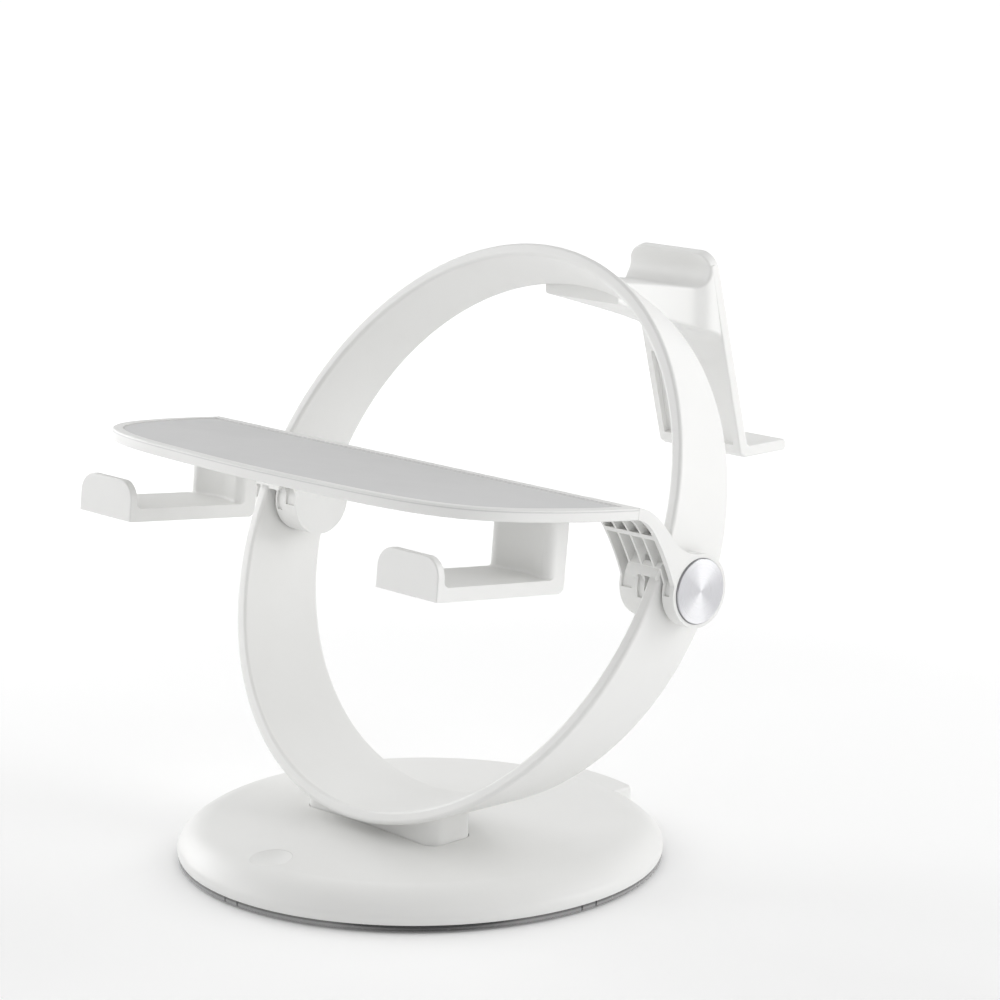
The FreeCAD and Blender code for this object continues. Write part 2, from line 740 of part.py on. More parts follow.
# Rear strap holder: leaning plate, floor, and a flared neck from the top of the hoop
def holder_section():
    top = Vec(0, holder_top[0], holder_top[1])
    bottom = Vec(0, holder_bottom[0], holder_bottom[1])
    along = bottom - top
    length = along.Length
    along.normalize()
    square = Vec(0, -along.z, along.y)
    inner_low = top + square * holder_wall
    inner_low = inner_low + along * ((inner_low.z - holder_floor_high) / -along.z)
    points = [top, bottom, Vec(0, bottom.y + 2.6, holder_floor_low), Vec(0, holder_floor_end - 1.0, holder_floor_low),
              Vec(0, holder_floor_end, holder_floor_low + 1.0), Vec(0, holder_floor_end, holder_floor_high - 1.0),
              Vec(0, holder_floor_end - 1.0, holder_floor_high), Vec(0, inner_low.y + 1.2, holder_floor_high),
              inner_low - along * 1.2, top + square * holder_wall, top]
    return Part.Face(Part.makePolygon(points)), along, square, length


# Where a line from the neck's root meets the plate's front, and the ends of a round between the two
def blend_points(start_z, slope, towards, along, radius):
    start = Vec(0, neck_root_y, start_z)
    run = Vec(0, 1, slope)
    run.normalize()
    top = Vec(0, holder_top[0], holder_top[1])
    gap = top - start
    reach = (gap.y * along.z - gap.z * along.y) / (run.y * along.z - run.z * along.y)
    corner = start + run * reach
    back = run * -1.0
    ray = along * towards
    half_angle = 0.5 * back.getAngle(ray)
    offset = radius / math.tan(half_angle)
    middle = back + ray
    middle.normalize()
    centre = corner + middle * (radius / math.sin(half_angle))
    crest = centre - middle * radius
    return start, corner + back * offset, crest, corner + ray * offset


def neck_side(along, square):
    root_top, top_start, top_crest, top_end = blend_points(neck_root_high, neck_top_slope, -1, along, neck_top_blend)
    root_low, low_start, low_crest, low_end = blend_points(neck_root_low, neck_bottom_slope, 1, along,
                                                           neck_bottom_blend)
    inside = square * (0.5 * holder_wall)
    edges = [Part.makeLine(root_top, top_start), Part.Arc(top_start, top_crest, top_end).toShape(),
             Part.makeLine(top_end, top_end + inside), Part.makeLine(top_end + inside, low_end + inside),
             Part.makeLine(low_end + inside, low_end), Part.Arc(low_end, low_crest, low_start).toShape(),
             Part.makeLine(low_start, root_low), Part.makeLine(root_low, root_top)]
    face = Part.Face(Part.Wire(edges))
    body = face.extrude(Vec(2 * holder_half_width, 0, 0))
    body.translate(Vec(-holder_half_width, 0, 0))
    return body


# Neck seen from above: wide at the hoop, a waist, and a flare to the full width of the plate
def neck_plan():
    front = holder_top[0]
    full = holder_half_width - 0.1
    half = [(neck_root_y - 3, neck_root_half_width), (neck_root_y + 12, 0.5 * (neck_root_half_width
            + neck_waist_half_width) - 0.4), (0.5 * (neck_root_y + front), neck_waist_half_width),
            (front - 10, neck_waist_half_width + 0.7), (front - 4, neck_waist_half_width + 2.2),
            (front, full - 0.3), (front + 4, full), (front + 14, full)]
    right = Part.BSplineCurve()
    right.interpolate([Vec(x, y, 0) for y, x in half], False)
    left = Part.BSplineCurve()
    left.interpolate([Vec(-x, y, 0) for y, x in reversed(half)], False)
    first = Vec(-half[0][1], half[0][0], 0)
    last = Vec(half[-1][1], half[-1][0], 0)
    wire = Part.Wire([right.toShape(), Part.makeLine(last, Vec(-last.x, last.y, 0)), left.toShape(),
                      Part.makeLine(first, Vec(-first.x, first.y, 0))])
    plan = Part.Face(wire).extrude(Vec(0, 0, 100))
    plan.translate(Vec(0, 0, holder_floor_high))
    return plan


def neck_block(along, square):
    body = neck_side(along, square).common(neck_plan())
    return rounded(body, lambda edge: edge.BoundBox.YLength > 25 and edge.BoundBox.XLength > 1, neck_edge_round)


# Flat key at the neck's root, bonded in a slot of the same size in the back edge of the band
def holder_key():
    front_top = Vec(0, front_centre_y + front_lean * front_half_height, front_centre_z + front_half_height)
    back_top = Vec(0, back_centre_y + back_lean * back_half_height, back_centre_z + back_half_height)
    along = back_top - front_top
    along.normalize()
    square = Vec(0, -along.z, along.y)
    middle = back_top - square * (0.5 * hoop_wall_top + 0.2)
    key = Part.makeBox(2 * key_half_width, key_reach + 4.0, key_thickness)
    key.translate(Vec(-key_half_width, 0, -0.5 * key_thickness))
    key = key.transformGeometry(holder_matrix(along, square))
    key.translate(middle - along * key_reach)
    return key


def strap_holder():
    face, along, square, length = holder_section()
    body = face.extrude(Vec(2 * holder_half_width, 0, 0))
    body.translate(Vec(-holder_half_width, 0, 0))
    body = rounded(body, lambda edge: edge.BoundBox.XLength < 0.1 and edge.BoundBox.ZMin > holder_top[1] - 6
                   and edge.BoundBox.ZLength < 3.5, holder_corner_round)
    body = rounded(body, lambda edge: abs(abs(edge.CenterOfMass.x) - holder_half_width) < 0.01, holder_edge_round)
    recess = Part.makeBox(2 * (holder_half_width - holder_rim), length * 0.42, holder_recess + 2)
    recess.translate(Vec(-holder_half_width + holder_rim, 0, -2))
    recess = recess.transformGeometry(holder_matrix(along, square))
    recess.translate(Vec(0, holder_top[0], holder_top[1]) + along * (length * 0.58 - holder_rim))
    neck = neck_block(along, square)
    body = body.fuse(neck.cut(hoop_plug())).fuse(holder_key())
    return body.cut(recess.cut(neck))


def holder_matrix(along, square):
    matrix = FreeCAD.Matrix()
    matrix.A12, matrix.A22, matrix.A32 = 0, along.y, along.z
    matrix.A13, matrix.A23, matrix.A33 = 0, square.y, square.z
    return matrix


# Everything inside the outer skin of the band, ahead of its back edge
def hoop_plug():
    return Part.makeLoft([hoop_ellipse(-0.6, 0, 0), hoop_ellipse(1.0, 0, 0)], True, True)


def main():
    export("base_shell", base_shell())
    export("bottom_plate", bottom_plate())
    export("plate_screws", plate_screws())
    export("base_weight", base_weight())
    export("foot_pad", foot_pad())
    export("rear_block", port_block())
    export("hoop", hoop())
    export("foot_screws", Part.makeCompound([foot_screw(-foot_screw_x), foot_screw(foot_screw_x)]))
    export("pivot_bushes", both_sides(pivot_bush()))
    export("strap_holder", strap_holder())
    export("tray_plate", tray_plate())
    export("tray_pad", tray_pad())
    right = hook_right()
    export("hook_right", right)
    export("hook_left", mirrored(right))
    export("tray_screws", tray_screws())
    arm = arm_right()
    export("arm_right", arm)
    export("arm_left", mirrored(arm))
    export("outer_caps", both_sides(outer_cap()))
    export("pivot_pins", both_sides(pivot_pin()))
    export("pivot_inserts", both_sides(pivot_insert()))
    export("pivot_washers", both_sides(pivot_washers()))


main()
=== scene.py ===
import logging
import math
from dataclasses import dataclass
from enum import Enum
from typing import Union

import bmesh
import bpy
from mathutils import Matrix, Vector


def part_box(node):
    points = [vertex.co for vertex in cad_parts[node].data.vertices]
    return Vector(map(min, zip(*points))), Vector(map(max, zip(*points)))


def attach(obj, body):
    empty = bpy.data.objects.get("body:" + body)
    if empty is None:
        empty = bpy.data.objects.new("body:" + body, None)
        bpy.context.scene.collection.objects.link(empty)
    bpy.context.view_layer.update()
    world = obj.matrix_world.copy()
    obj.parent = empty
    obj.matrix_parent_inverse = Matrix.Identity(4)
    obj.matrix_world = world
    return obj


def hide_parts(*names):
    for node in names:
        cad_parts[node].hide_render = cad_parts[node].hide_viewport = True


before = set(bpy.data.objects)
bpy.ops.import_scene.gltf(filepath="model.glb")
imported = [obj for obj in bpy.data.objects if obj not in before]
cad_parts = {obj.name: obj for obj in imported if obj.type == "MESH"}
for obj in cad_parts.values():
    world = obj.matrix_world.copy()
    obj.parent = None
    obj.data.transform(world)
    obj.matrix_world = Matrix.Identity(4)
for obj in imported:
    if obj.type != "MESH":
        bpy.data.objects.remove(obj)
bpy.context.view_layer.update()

log = logging.getLogger("headset_stand")
Triple = tuple[float, float, float]
Colour = Triple
Value = Union[float, "Wire"]

MILLIMETRE = 0.001
ORIGIN = (0.0, 0.0, 0.0)
FULL_TURN = 2.0 * math.pi
NOISE_ROUGHNESS = 0.55
WHITE_COLOUR = (1.0, 1.0, 1.0, 1.0)
BRASS = (0.72, 0.55, 0.26)
DULL_BRASS = (0.55, 0.40, 0.2)


class Body(Enum):
    """The two rigid bodies of the stand."""

    STAND = "stand"
    TRAY = "tray"


class Wire:
    """An output socket of a shader node that takes part in Python arithmetic."""

    def __init__(self, graph: "Graph", socket: bpy.types.NodeSocket) -> None:
        """Keeps the socket and the graph that new Math nodes go into."""
        self.graph = graph
        self.socket = socket

    def _math(self, operation: str, first: Value, second: Value) -> "Wire":
        """Adds one Math node.

        Args:
            operation: Name of the Math node's operation.
            first: Its first value or link.
            second: Its second value or link.

        Returns:
            The node's result.
        """
        return self.graph.node("ShaderNodeMath", {"operation": operation}, {0: first, 1: second})

    def __add__(self, other: Value) -> "Wire":
        """Sum with a number or another wire."""
        return self._math("ADD", self, other)

    def __radd__(self, other: Value) -> "Wire":
        """Sum with a number on the left."""
        return self._math("ADD", other, self)

    def __sub__(self, other: Value) -> "Wire":
        """Difference with a number or another wire."""
        return self._math("SUBTRACT", self, other)

    def __rsub__(self, other: Value) -> "Wire":
        """Difference from a number on the left."""
        return self._math("SUBTRACT", other, self)

    def __mul__(self, other: Value) -> "Wire":
        """Product with a number or another wire."""
        return self._math("MULTIPLY", self, other)

    def __rmul__(self, other: Value) -> "Wire":
        """Product with a number on the left."""
        return self._math("MULTIPLY", other, self)

    def __truediv__(self, other: Value) -> "Wire":
        """Quotient by a number or another wire."""
        return self._math("DIVIDE", self, other)

    def __pow__(self, other: Value) -> "Wire":
        """Power with a number or another wire as exponent."""
        return self._math("POWER", self, other)

    def above(self, low: Value) -> "Wire":
        """The larger of this and a limit."""
        return self._math("MAXIMUM", self, low)

    def below(self, high: Value) -> "Wire":
        """The smaller of this and a limit."""
        return self._math("MINIMUM", self, high)

    def sine(self) -> "Wire":
        """Sine of the value in radians."""
        return self._math("SINE", self, 0.0)

    def cosine(self) -> "Wire":
        """Cosine of the value in radians."""
        return self._math("COSINE", self, 0.0)

    def over(self, limit: Value) -> "Wire":
        """1 where the value is larger than a limit and 0 elsewhere."""
        return self._math("GREATER_THAN", self, limit)

    def clamped(self) -> "Wire":
        """The value kept between 0 and 1."""
        return self.above(0.0).below(1.0)

    def heading(self, across: Value) -> "Wire":
        """Angle in radians whose sine follows this wire and whose cosine follows the other."""
        return self._math("ARCTAN2", self, across)


class Graph:
    """The node tree of one material."""

    def __init__(self, name: str) -> None:
        """Makes an empty material with an output node.

        Args:
            name: Name of the material.
        """
        self.material = bpy.data.materials.new(name)
        self.material.use_nodes = True
        self.tree = self.material.node_tree
        self.tree.nodes.clear()
        self.out = self.tree.nodes.new("ShaderNodeOutputMaterial")

    def node(self, kind: str, settings: dict | None = None, inputs: dict | None = None,
             output: int | str = 0) -> Wire:
        """Adds one node of any kind.

        Args:
            kind: Type name of the node.
            settings: Attributes of the node, set before its sockets.
            inputs: Values or wires for the input sockets, by name or number.
            output: The output socket that is handed back, by name or number.

        Returns:
            A wire from the chosen output.
        """
        made = self.tree.nodes.new(kind)
        for name, value in (settings or {}).items():
            setattr(made, name, value)
        for name, value in (inputs or {}).items():
            if isinstance(value, Wire):
                self.tree.links.new(value.socket, made.inputs[name])
            else:
                made.inputs[name].default_value = value
        return Wire(self, made.outputs[output])

    def place(self, offset: Triple = ORIGIN) -> Wire:
        """Object coordinates in metres.

        Args:
            offset: The point of the object that becomes the origin.

        Returns:
            The coordinates as a vector.
        """
        coordinates = self.node("ShaderNodeTexCoord", output="Object")
        if offset == ORIGIN:
            return coordinates
        shift = tuple(-part for part in offset)
        return self.node("ShaderNodeVectorMath", {"operation": "ADD"}, {0: coordinates, 1: shift})

    def flatten(self, vector: Wire, keep: Triple) -> Wire:
        """Multiplies each part of a vector by its own share.

        Args:
            vector: The vector to flatten.
            keep: A share for each axis, 0 to drop that part and 1 to keep it.

        Returns:
            The flattened vector.
        """
        return self.node("ShaderNodeVectorMath", {"operation": "MULTIPLY"}, {0: vector, 1: keep})

    def length(self, vector: Wire) -> Wire:
        """Measures a vector.

        Args:
            vector: The vector to measure.

        Returns:
            Its length.
        """
        settings = {"operation": "LENGTH"}
        return self.node("ShaderNodeVectorMath", settings, {0: vector}, output="Value")

    def reach(self, vector: Wire, direction: Triple) -> Wire:
        """Measures a vector along a direction.

        Args:
            vector: The vector to measure.
            direction: The direction, of length 1.

        Returns:
            How far the vector reaches along the direction.
        """
        settings = {"operation": "DOT_PRODUCT"}
        inputs = {0: vector, 1: direction}
        return self.node("ShaderNodeVectorMath", settings, inputs, output="Value")

    def along(self, vector: Wire, axis: str) -> Wire:
        """Takes one part of a vector.

        Args:
            vector: The vector to take apart.
            axis: The letter of the axis.

        Returns:
            The part along that axis.
        """
        return self.node("ShaderNodeSeparateXYZ", None, {0: vector}, output=axis)

    def noise(self, vector: Wire, size: float, detail: float) -> Wire:
        """Soft noise from 0 to 1.

        Args:
            vector: The coordinates in metres.
            size: Size of one blotch in metres.
            detail: Octaves of finer noise.

        Returns:
            The noise value.
        """
        inputs = {"Vector": vector, "Scale": 1.0 / size, "Detail": detail,
                  "Roughness": NOISE_ROUGHNESS}
        return self.node("ShaderNodeTexNoise", {"noise_dimensions": "3D"}, inputs)

    def ripple(self, value: Wire, scale: float, detail: float) -> Wire:
        """Noise from 0 to 1 that follows a single value.

        Args:
            value: The value that the noise runs along.
            scale: Blotches for each unit of the value.
            detail: Octaves of finer noise.

        Returns:
            The noise value.
        """
        inputs = {"W": value, "Scale": scale, "Detail": detail}
        return self.node("ShaderNodeTexNoise", {"noise_dimensions": "1D"}, inputs)

    def blend(self, mask: Value, first: Union[Colour, Wire], second: Union[Colour, Wire]) -> Wire:
        """A colour between two, chosen by a mask from 0 to 1.

        Args:
            mask: 0 gives the first colour and 1 the second.
            first: A colour or a wire that carries one.
            second: A colour or a wire that carries one.

        Returns:
            The mixed colour.
        """
        settings = {"data_type": "RGBA", "blend_type": "MIX"}
        ends = [end if isinstance(end, Wire) else (*end, 1.0) for end in (first, second)]
        return self.node("ShaderNodeMix", settings, {0: mask, 6: ends[0], 7: ends[1]}, output=2)

    def bump(self, height: Wire, depth: float = 1.0) -> Wire:
        """Turns a height into a surface normal.

        Args:
            height: The height over the surface.
            depth: What a height of 1 stands for, in metres.

        Returns:
            The bent normal.
        """
        inputs = {"Height": height, "Distance": depth, "Strength": 1.0}
        return self.node("ShaderNodeBump", None, inputs)

    def surface(self, **inputs: Union[Value, Colour]) -> bpy.types.Material:
        """Ends the graph in a Principled shader.

        Args:
            **inputs: Values or wires for its sockets, with underscores for spaces.

        Returns:
            The finished material.
        """
        named = {key.replace("_", " "): value for key, value in inputs.items()}
        shader = self.node("ShaderNodeBsdfPrincipled", None, named)
        self.tree.links.new(shader.socket, self.out.inputs["Surface"])
        return self.material


@dataclass(frozen=True)
class MouldedPlastic:
    """White injection-moulded plastic with a fine eroded grain and faint handling marks."""

    name: str
    light: Colour = (0.86, 0.86, 0.85)
    shade: Colour = (0.82, 0.82, 0.805)
    roughness: float = 0.42
    grain_size: float = 0.35 * MILLIMETRE
    grain_depth: float = 0.006 * MILLIMETRE
    blotch_size: float = 38.0 * MILLIMETRE
    smudge_size: float = 11.4 * MILLIMETRE
    smudge_gloss: float = 0.10
    blotch_gloss: float = 0.05

    def skin(self, graph: Graph) -> tuple[Wire, Wire, Wire]:
        """Makes what every white plastic shares.

        Args:
            graph: The node tree that receives the nodes.

        Returns:
            The colour with its slow change, the uneven gloss and the grain's height in metres.
        """
        place = graph.place()
        blotch = graph.noise(place, self.blotch_size, detail=3.0)
        smudge = graph.noise(place, self.smudge_size, detail=4.0)
        grain = graph.noise(place, self.grain_size, detail=1.0)
        colour = graph.blend(blotch, self.light, self.shade)
        gloss = (self.roughness + self.smudge_gloss * (smudge - 0.5)
                 + self.blotch_gloss * (blotch - 0.5))
        return colour, gloss, grain * self.grain_depth

    def material(self) -> bpy.types.Material:
        """Builds the material with grain, slow colour change and uneven gloss."""
        graph = Graph(self.name)
        colour, gloss, grain = self.skin(graph)
        return graph.surface(Base_Color=colour, Roughness=gloss, Normal=graph.bump(grain))


@dataclass(frozen=True)
class DimpledPlastic(MouldedPlastic):
    """White plastic of the base, whose shallow dimple has a crisp lip with painted shade on its
    far side.
    """

    dimple: Triple = (0.0, -75.0 * MILLIMETRE, 0.0)
    dimple_radius: float = 8.0 * MILLIMETRE
    lip_width: float = 0.45 * MILLIMETRE
    lip_depth: float = 0.16 * MILLIMETRE
    # Colour of the painted shade along the lip's far side.
    lip_painted_shade: Colour = (0.66, 0.66, 0.65)

    def material(self) -> bpy.types.Material:
        """Builds the material: the plastic with the lip cut into it, and painted shade along the
        lip on its far side.
        """
        graph = Graph(self.name)
        colour, gloss, grain = self.skin(graph)
        flat = graph.flatten(graph.place(self.dimple), (1.0, 1.0, 0.0))
        lip = ((graph.length(flat) - self.dimple_radius) / self.lip_width + 0.5).clamped()
        far = (graph.along(flat, "Y") / self.dimple_radius).clamped()
        # The product of lip and its rest peaks at a quarter in the middle of the lip.
        # Painted shade: a thin dark crescent on the lip, only on its far side.
        painted_shade_line = lip * (1.0 - lip) * 4.0 * far
        return graph.surface(
            Base_Color=graph.blend(painted_shade_line, colour, self.lip_painted_shade),
            Roughness=gloss,
            Normal=graph.bump(lip * self.lip_depth + grain),
        )


@dataclass(frozen=True)
class RimmedPlastic(MouldedPlastic):
    """White plastic of the tray with a fine parting groove just under its top edge, darkened with
    painted shade.
    """

    hinge: Triple = (0.0, 29.4 * MILLIMETRE, 122.3 * MILLIMETRE)
    pitch: float = math.radians(6.3)
    groove_height: float = 31.05 * MILLIMETRE
    groove_half_width: float = 0.26 * MILLIMETRE
    groove_depth: float = 0.10 * MILLIMETRE
    # Colour of the painted shade in the groove.
    groove_painted_shade: Colour = (0.68, 0.68, 0.675)

    def material(self) -> bpy.types.Material:
        """Builds the material: the plastic with a groove at one height over the hinge, cut in as
        a bump and darkened with painted shade.
        """
        graph = Graph(self.name)
        colour, gloss, grain = self.skin(graph)
        upright = (0.0, math.sin(self.pitch), math.cos(self.pitch))
        height = graph.reach(graph.place(self.hinge), upright)
        off = (height - self.groove_height) / self.groove_half_width
        painted_shade_line = (1.0 - off * off).above(0.0)
        # Painted shade: the groove is darkened in colour as well as cut in.
        return graph.surface(
            Base_Color=graph.blend(painted_shade_line, colour, self.groove_painted_shade),
            Roughness=gloss,
            Normal=graph.bump(grain - painted_shade_line * self.groove_depth),
        )


@dataclass(frozen=True)
class SoftPadFinish:
    """Pale grey silicone sheet with a fine stipple."""

    name: str
    light: Colour = (0.68, 0.68, 0.68)
    shade: Colour = (0.63, 0.63, 0.63)
    roughness: float = 0.72
    uneven_gloss: float = 0.12
    specular: float = 0.35
    blotch_size: float = 25.0 * MILLIMETRE
    stipple_size: float = 0.8 * MILLIMETRE
    stipple_depth: float = 0.03 * MILLIMETRE

    def material(self) -> bpy.types.Material:
        """Builds the material with a stipple of small round pits."""
        graph = Graph(self.name)
        place = graph.place()
        blotch = graph.noise(place, self.blotch_size, detail=3.0)
        cells = graph.node("ShaderNodeTexVoronoi", {"feature": "F1"},
                           {"Vector": place, "Scale": 1.0 / self.stipple_size})
        return graph.surface(
            Base_Color=graph.blend(blotch, self.light, self.shade),
            Roughness=self.roughness + self.uneven_gloss * (blotch - 0.5),
            Normal=graph.bump(cells, self.stipple_depth),
            Specular_IOR_Level=self.specular,
        )


@dataclass(frozen=True)
class GlossPlate:
    """Polished dark edge of the base plate, with a painted grey reflection of the floor on its
    lower band that turns dark in four lobes round it, and thin dark slits beside its four clips.
    """

    name: str
    # The first colour is a painted reflection of the pale floor; the second is the plate's own
    # dark colour.
    painted_reflection: Colour = (0.30, 0.30, 0.30)
    dark: Colour = (0.015, 0.015, 0.016)
    reflection_top: float = 2.1 * MILLIMETRE
    reflection_top_blur: float = 0.5 * MILLIMETRE
    upper_band_share: float = 0.55
    reflection_lobe_share: float = 0.85
    slit_share: float = 0.7
    clips: int = 4
    reflection_lobe_turn: float = math.radians(50.0)
    clip_half_turn: float = math.radians(2.2)
    clip_slit: float = math.radians(0.28)
    scuff_size: float = 2.5 * MILLIMETRE
    scuff_start: float = 0.52
    scuff_gain: float = 4.0
    roughness: float = 0.14
    scuffed_roughness: float = 0.3
    coat: float = 0.4
    coat_roughness: float = 0.08

    def clip_marks(self, turn: Wire) -> Wire:
        """1 on the two thin slits beside each clip and 0 elsewhere.

        Args:
            turn: Angle about the vertical axis in radians.

        Returns:
            The mask of the slits.
        """
        near = (turn * float(self.clips)).cosine()
        inner = near.over(math.cos(self.clips * (self.clip_half_turn - self.clip_slit)))
        outer = near.over(math.cos(self.clips * (self.clip_half_turn + self.clip_slit)))
        return outer - inner

    def material(self) -> bpy.types.Material:
        """Builds the material with its painted floor reflection, dark above the lower band and in
        four lobes by angle, the clips' slits and fine scuffs.
        """
        graph = Graph(self.name)
        place = graph.place()
        turn = graph.along(place, "Y").heading(graph.along(place, "X"))
        # Painted reflection: by angle round the plate, the painted grey turns dark in four lobes.
        shade = ((turn - self.reflection_lobe_turn) * float(self.clips)).cosine().above(0.0)
        # Painted reflection: only the lower band of the edge keeps the painted grey; above it the
        # plate shows its own dark colour.
        upper_band = ((graph.along(place, "Z") - self.reflection_top) / self.reflection_top_blur).clamped()
        slits = self.clip_marks(turn) * self.slit_share
        scuff = graph.noise(place, self.scuff_size, detail=5.0)
        marks = ((scuff - self.scuff_start).above(0.0) * self.scuff_gain).below(1.0)
        dark = (self.reflection_lobe_share * shade + self.upper_band_share * upper_band + slits).below(1.0)
        return graph.surface(
            Base_Color=graph.blend(dark, self.painted_reflection, self.dark),
            Roughness=self.roughness + self.scuffed_roughness * marks,
            Coat_Weight=self.coat,
            Coat_Roughness=self.coat_roughness,
        )


@dataclass(frozen=True)
class FootRubber:
    """Black rubber of the foot pad, dusty in patches."""

    name: str
    colour: Colour = (0.018, 0.018, 0.018)
    dusty: Colour = (0.045, 0.044, 0.042)
    roughness: float = 0.70
    dusty_gloss: float = 0.2
    dust_size: float = 9.0 * MILLIMETRE
    stipple_size: float = 0.5 * MILLIMETRE
    stipple_depth: float = 0.02 * MILLIMETRE

    def material(self) -> bpy.types.Material:
        """Builds the material with dust and a fine stipple."""
        graph = Graph(self.name)
        place = graph.place()
        dust = graph.noise(place, self.dust_size, detail=5.0)
        stipple = graph.noise(place, self.stipple_size, detail=2.0)
        return graph.surface(
            Base_Color=graph.blend(dust, self.colour, self.dusty),
            Roughness=self.roughness + self.dusty_gloss * (dust - 0.5),
            Normal=graph.bump(stipple, self.stipple_depth),
        )


@dataclass(frozen=True)
class TurnedMetal:
    """Aluminium turned about an axis along X, with concentric grooves, streaks, lobes of painted
    highlight by angle and a painted shade ring at its rim.
    """

    name: str
    centre: Triple
    rim_radius: float
    # The light and shade colours are the painted highlight and painted shade ends of the
    # highlight lobes.
    light: Colour = (0.82, 0.82, 0.84)
    shade: Colour = (0.53, 0.53, 0.55)
    # Colour of the painted shade ring at the rim, where shade falls in the gap round the disc.
    rim_painted_shade: Colour = (0.40, 0.40, 0.42)
    rim_width: float = 0.24 * MILLIMETRE
    highlight_tilt: float = math.radians(14.0)
    groove_pitch: float = 0.74 * MILLIMETRE
    groove_depth: float = 0.010 * MILLIMETRE
    roughness: float = 0.26
    uneven_gloss: float = 0.10
    highlight_lobes: float = 2.0
    highlight_power: float = 1.5
    streak_scale: float = 4.0
    streak_share: float = 0.35
    ring_share: float = 0.17
    fine_share: float = 0.12

    def material(self) -> bpy.types.Material:
        """Builds the material: rings follow the distance from the axis, streaks and the painted
        highlight the angle, and painted shade darkens the rim.
        """
        graph = Graph(self.name)
        place = graph.place(self.centre)
        radius = graph.length(graph.flatten(place, (0.0, 1.0, 1.0)))
        turn = graph.along(place, "Y").heading(graph.along(place, "Z"))
        streaks = graph.ripple((turn * self.highlight_lobes).cosine(), self.streak_scale, detail=4.0)
        # Painted highlight: lighter lobes fixed by angle round the axis.
        painted_highlight = ((turn - self.highlight_tilt) * self.highlight_lobes).cosine() * 0.5 + 0.5
        rings = (radius * (FULL_TURN / self.groove_pitch)).sine()
        fine = graph.ripple(radius, 2.0 / self.groove_pitch, detail=3.0)
        # Mixes the painted highlight with the real streaks and turning rings.
        highlight_and_marks = (painted_highlight ** self.highlight_power + self.streak_share * (streaks - 0.5)
               + self.ring_share * rings + self.fine_share * (fine - 0.5)).clamped()
        # Painted shade: a thin dark ring at the rim stands for shade in the gap round the disc.
        rim = radius.over(self.rim_radius - self.rim_width)
        return graph.surface(
            Base_Color=graph.blend(rim, graph.blend(highlight_and_marks, self.shade, self.light), self.rim_painted_shade),
            Metallic=1.0,
            Roughness=self.roughness + self.uneven_gloss * (fine - 0.5),
            Normal=graph.bump(fine, self.groove_depth),
        )


@dataclass(frozen=True)
class PlainMetal:
    """Machined metal of the hidden hardware, slightly stained."""

    name: str
    colour: Colour = (0.56, 0.57, 0.58)
    stained: Colour = (0.42, 0.42, 0.42)
    roughness: float = 0.34
    stained_gloss: float = 0.2
    stain_size: float = 4.0 * MILLIMETRE
    scratch_size: float = 0.4 * MILLIMETRE
    scratch_depth: float = 0.006 * MILLIMETRE

    def material(self) -> bpy.types.Material:
        """Builds the material with stains and fine scratches."""
        graph = Graph(self.name)
        place = graph.place()
        stain = graph.noise(place, self.stain_size, detail=4.0)
        scratch = graph.noise(place, self.scratch_size, detail=3.0)
        return graph.surface(
            Base_Color=graph.blend(stain, self.colour, self.stained),
            Metallic=1.0,
            Roughness=self.roughness + self.stained_gloss * (stain - 0.5),
            Normal=graph.bump(scratch, self.scratch_depth),
        )


def dress(node: str, material: bpy.types.Material) -> None:
    """Gives a carried-over piece of the model its material.

    Args:
        node: Name of the piece.
        material: The finished material.
    """
    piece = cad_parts[node]
    if not piece.material_slots:
        piece.data.materials.append(material)
    for slot in piece.material_slots:
        slot.material = material
    log.info("dressed %s in %s", node, material.name)


@dataclass
class Base:
    """Domed base with its dark underside, ballast and rear block."""

    shell: DimpledPlastic = DimpledPlastic("white_base")
    block: MouldedPlastic = MouldedPlastic("white_block", roughness=0.46)
    plate: GlossPlate = GlossPlate("dark_plate")
    pad: FootRubber = FootRubber("foot_rubber")
    steel: PlainMetal = PlainMetal("base_steel")

    def build(self) -> None:
        """Dresses every piece of the base."""
        steel = self.steel.material()
        dress("base_shell", self.shell.material())
        dress("rear_block", self.block.material())
        dress("bottom_plate", self.plate.material())
        dress("foot_pad", self.pad.material())
        for node in ("plate_screws", "base_weight", "foot_screws"):
            dress(node, steel)


@dataclass
class Hoop:
    """Leaning tapered hoop and the bushes in its hubs."""

    band: MouldedPlastic = MouldedPlastic("white_hoop", roughness=0.40)
    bush: PlainMetal = PlainMetal("bush_brass", BRASS, DULL_BRASS)

    def build(self) -> None:
        """Dresses the band and its bushes."""
        dress("hoop", self.band.material())
        dress("pivot_bushes", self.bush.material())


@dataclass
class Holder:
    """Rear strap holder."""

    plastic: MouldedPlastic = MouldedPlastic("white_holder", roughness=0.44)

    def build(self) -> None:
        """Dresses the holder."""
        dress("strap_holder", self.plastic.material())


@dataclass
class Tray:
    """Tray with its soft pad, hooks and clevis arms."""

    plate: RimmedPlastic = RimmedPlastic("white_tray_plate", roughness=0.40)
    plastic: MouldedPlastic = MouldedPlastic("white_tray", roughness=0.40)
    pad: SoftPadFinish = SoftPadFinish("grey_pad")
    steel: PlainMetal = PlainMetal("tray_steel")
    brass: PlainMetal = PlainMetal("insert_brass", BRASS, DULL_BRASS)
    nylon: MouldedPlastic = MouldedPlastic("washer_nylon", (0.75, 0.74, 0.70), (0.70, 0.69, 0.65))

    def build(self) -> None:
        """Dresses every piece that tilts."""
        white = self.plastic.material()
        steel = self.steel.material()
        dress("tray_plate", self.plate.material())
        for node in ("hook_right", "hook_left", "arm_right", "arm_left"):
            dress(node, white)
        dress("tray_pad", self.pad.material())
        for node in ("tray_screws", "pivot_pins"):
            dress(node, steel)
        dress("pivot_inserts", self.brass.material())
        dress("pivot_washers", self.nylon.material())


